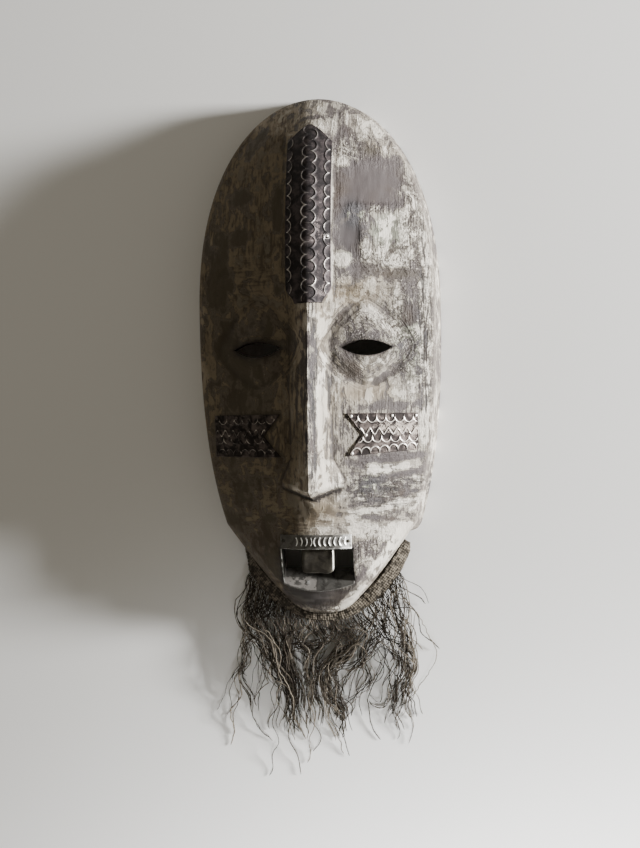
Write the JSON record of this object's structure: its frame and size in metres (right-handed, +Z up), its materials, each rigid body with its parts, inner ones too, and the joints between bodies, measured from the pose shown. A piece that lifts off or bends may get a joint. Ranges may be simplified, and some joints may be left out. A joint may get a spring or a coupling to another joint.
{
  "type": "tribal mask",
  "caption": "Carved wooden face mask with kaolin paint, embossed sheet-metal ornaments, a metal-clad tooth and an unravelled hemp beard, lying on its back rim.",
  "frame": {"origin": "on the floor under the middle of the whole object's box, mask and fringe", "axes": "+X to the viewer's right of the face, +Y from the chin to the forehead, +Z up, out of the face"},
  "size_m": [0.2316, 0.6582, 0.1041],
  "materials": {
    "painted_wood": "worn white kaolin brushed over dark mauve-brown stained wood, bare dark wood inside",
    "dark_sheet": "dark patinated embossed sheet metal with rubbed bright ridges",
    "cheek_sheet": "thin embossed sheet metal, part tarnished and part whitened by paint",
    "lip_sheet": "dull grey sheet metal with bright worn edges",
    "tooth_sheet": "dark tarnished sheet metal over a block, bright at its edge",
    "tack_iron": "small tarnished nail heads",
    "hemp": "coarse grey-brown hemp cloth and twisted yarn"
  },
  "bodies": {
    "root": {"mask_shell": "painted_wood", "forehead_strip": "dark_sheet", "cheek_plate_right": "cheek_sheet", "cheek_plate_left": "cheek_sheet", "upper_lip_strip": "lip_sheet", "lower_lip_plate": "lip_sheet", "tooth": "tooth_sheet", "tack_forehead": "tack_iron", "tack_lip_left": "tack_iron", "tack_lip_right": "tack_iron", "tack_right_1": "tack_iron", "tack_right_2": "tack_iron", "tack_right_3": "tack_iron", "tack_right_4": "tack_iron", "tack_right_5": "tack_iron", "tack_left_1": "tack_iron", "tack_left_2": "tack_iron", "tack_left_3": "tack_iron", "tack_left_4": "tack_iron", "tack_left_5": "tack_iron", "beard_band": "hemp", "fringe_lock_1": "hemp", "fringe_lock_2": "hemp", "fringe_lock_3": "hemp", "fringe_lock_4": "hemp", "fringe_lock_5": "hemp", "fringe_lock_6": "hemp", "fringe_lock_7": "hemp", "fringe_lock_8": "hemp"}
  },
  "joints": []
}
